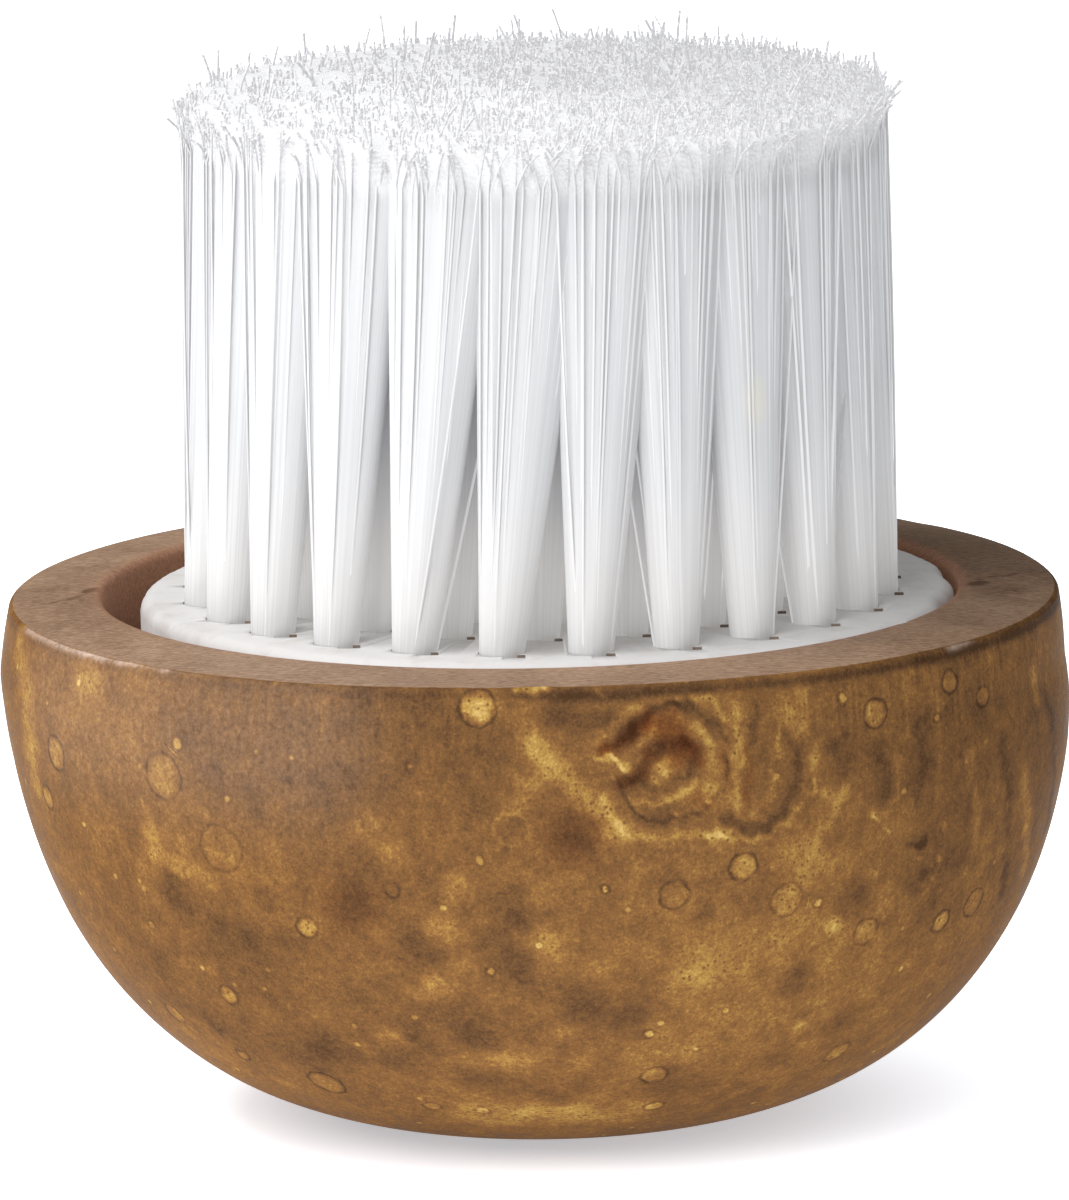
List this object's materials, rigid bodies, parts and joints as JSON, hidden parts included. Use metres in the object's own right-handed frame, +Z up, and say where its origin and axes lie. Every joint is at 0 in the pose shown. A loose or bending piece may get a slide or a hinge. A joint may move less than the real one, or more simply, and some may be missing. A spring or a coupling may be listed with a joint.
{
  "type": "mushroom brush",
  "caption": "Palm-held mushroom brush: a turned, domed wooden cap with a glued-in white plastic plate that carries rings of round, stiff white nylon tufts trimmed level.",
  "frame": {"origin": "centre of the flat foot at the bottom of the domed cap, on which the brush rests", "axes": "+Z straight up through the bristles, -Y towards the front, +X to the right seen from the front"},
  "size_m": [0.06, 0.06, 0.0588],
  "materials": {
    "cap_wood": "satin",
    "plate": "satin",
    "adhesive": "satin",
    "bristle": "satin",
    "anchor_wire": "satin"
  },
  "bodies": {
    "root": {"adhesive_bed": "adhesive", "cap_body": "cap_wood", "centre_tufts": "bristle", "outer_anchor_01": "anchor_wire", "outer_anchor_02": "anchor_wire", "outer_anchor_03": "anchor_wire", "outer_anchor_04": "anchor_wire", "outer_anchor_05": "anchor_wire", "outer_anchor_06": "anchor_wire", "outer_anchor_07": "anchor_wire", "outer_anchor_08": "anchor_wire", "outer_anchor_09": "anchor_wire", "outer_anchor_10": "anchor_wire", "outer_anchor_11": "anchor_wire", "outer_anchor_12": "anchor_wire", "outer_anchor_13": "anchor_wire", "outer_anchor_14": "anchor_wire", "outer_anchor_15": "anchor_wire", "outer_anchor_16": "anchor_wire", "outer_anchor_17": "anchor_wire", "outer_anchor_18": "anchor_wire", "outer_anchor_19": "anchor_wire", "outer_anchor_20": "anchor_wire", "outer_anchor_21": "anchor_wire", "outer_anchor_22": "anchor_wire", "outer_anchor_23": "anchor_wire", "outer_anchor_24": "anchor_wire", "outer_tuft_01": "bristle", "outer_tuft_02": "bristle", "outer_tuft_03": "bristle", "outer_tuft_04": "bristle", "outer_tuft_05": "bristle", "outer_tuft_06": "bristle", "outer_tuft_07": "bristle", "outer_tuft_08": "bristle", "outer_tuft_09": "bristle", "outer_tuft_10": "bristle", "outer_tuft_11": "bristle", "outer_tuft_12": "bristle", "outer_tuft_13": "bristle", "outer_tuft_14": "bristle", "outer_tuft_15": "bristle", "outer_tuft_16": "bristle", "outer_tuft_17": "bristle", "outer_tuft_18": "bristle", "outer_tuft_19": "bristle", "outer_tuft_20": "bristle", "outer_tuft_21": "bristle", "outer_tuft_22": "bristle", "outer_tuft_23": "bristle", "outer_tuft_24": "bristle", "ring_2_tufts": "bristle", "ring_3_tufts": "bristle", "tuft_plate": "plate"}
  },
  "joints": []
}
